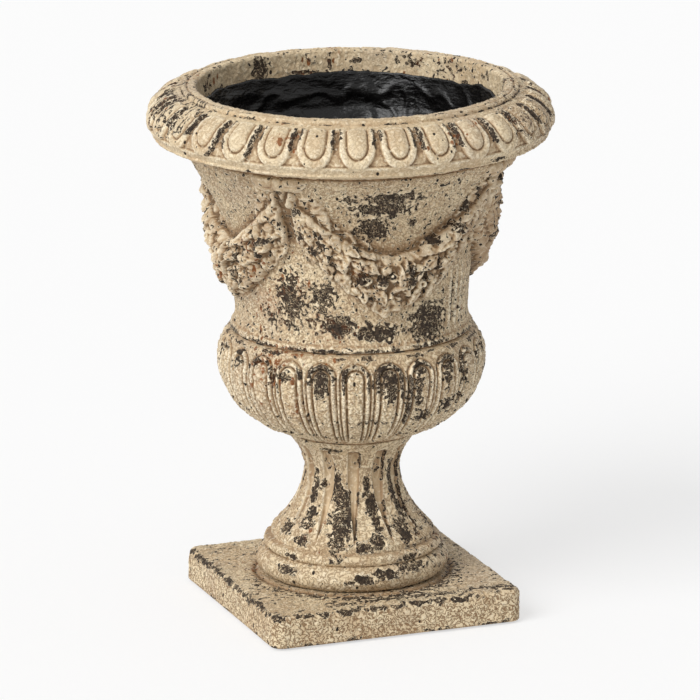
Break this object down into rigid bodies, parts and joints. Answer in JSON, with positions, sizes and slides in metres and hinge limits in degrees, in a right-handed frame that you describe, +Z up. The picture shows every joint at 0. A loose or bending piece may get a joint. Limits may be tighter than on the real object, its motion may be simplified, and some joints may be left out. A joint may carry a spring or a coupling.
{
  "type": "footed urn cachepot",
  "caption": "Footed bell-shaped urn planter on a square plinth, with an egg-moulded rim, leaf swags, a gadrooned bowl, a lobed stem and a black waterproof lining.",
  "frame": {"origin": "on the floor, under the middle of the square plinth", "axes": "+Z up along the urn's axis; +X and +Y square to the plinth's sides; the picture is taken from the -Y side, 20.7 degrees towards -X"},
  "size_m": [0.2998, 0.2998, 0.4],
  "materials": {
    "cast": "matte, distressed cream paint over black-brown cast fibre clay",
    "lining": "glossy brushed bitumen, wrinkled",
    "mortar": "matte",
    "steel": "zinc plated",
    "rubber": "matte",
    "felt": "matte"
  },
  "bodies": {
    "root": {"base_pads": "felt", "plinth": "cast", "plinth_bed": "mortar", "pedestal": "cast", "bowl_bed": "mortar", "bowl": "cast", "shoulder_bed": "mortar", "neck": "cast", "rim_bed": "mortar", "rim": "cast", "liner": "lining", "floor_plug": "mortar", "seal_washer": "rubber", "top_washer": "steel", "top_nut": "steel", "tie_rod": "steel", "bottom_washer": "steel", "bottom_nut": "steel", "swag_front": "cast", "swag_right": "cast", "swag_back": "cast", "swag_left": "cast", "knot_front_left": "cast", "knot_front_right": "cast", "knot_back_right": "cast", "knot_back_left": "cast"}
  },
  "joints": []
}
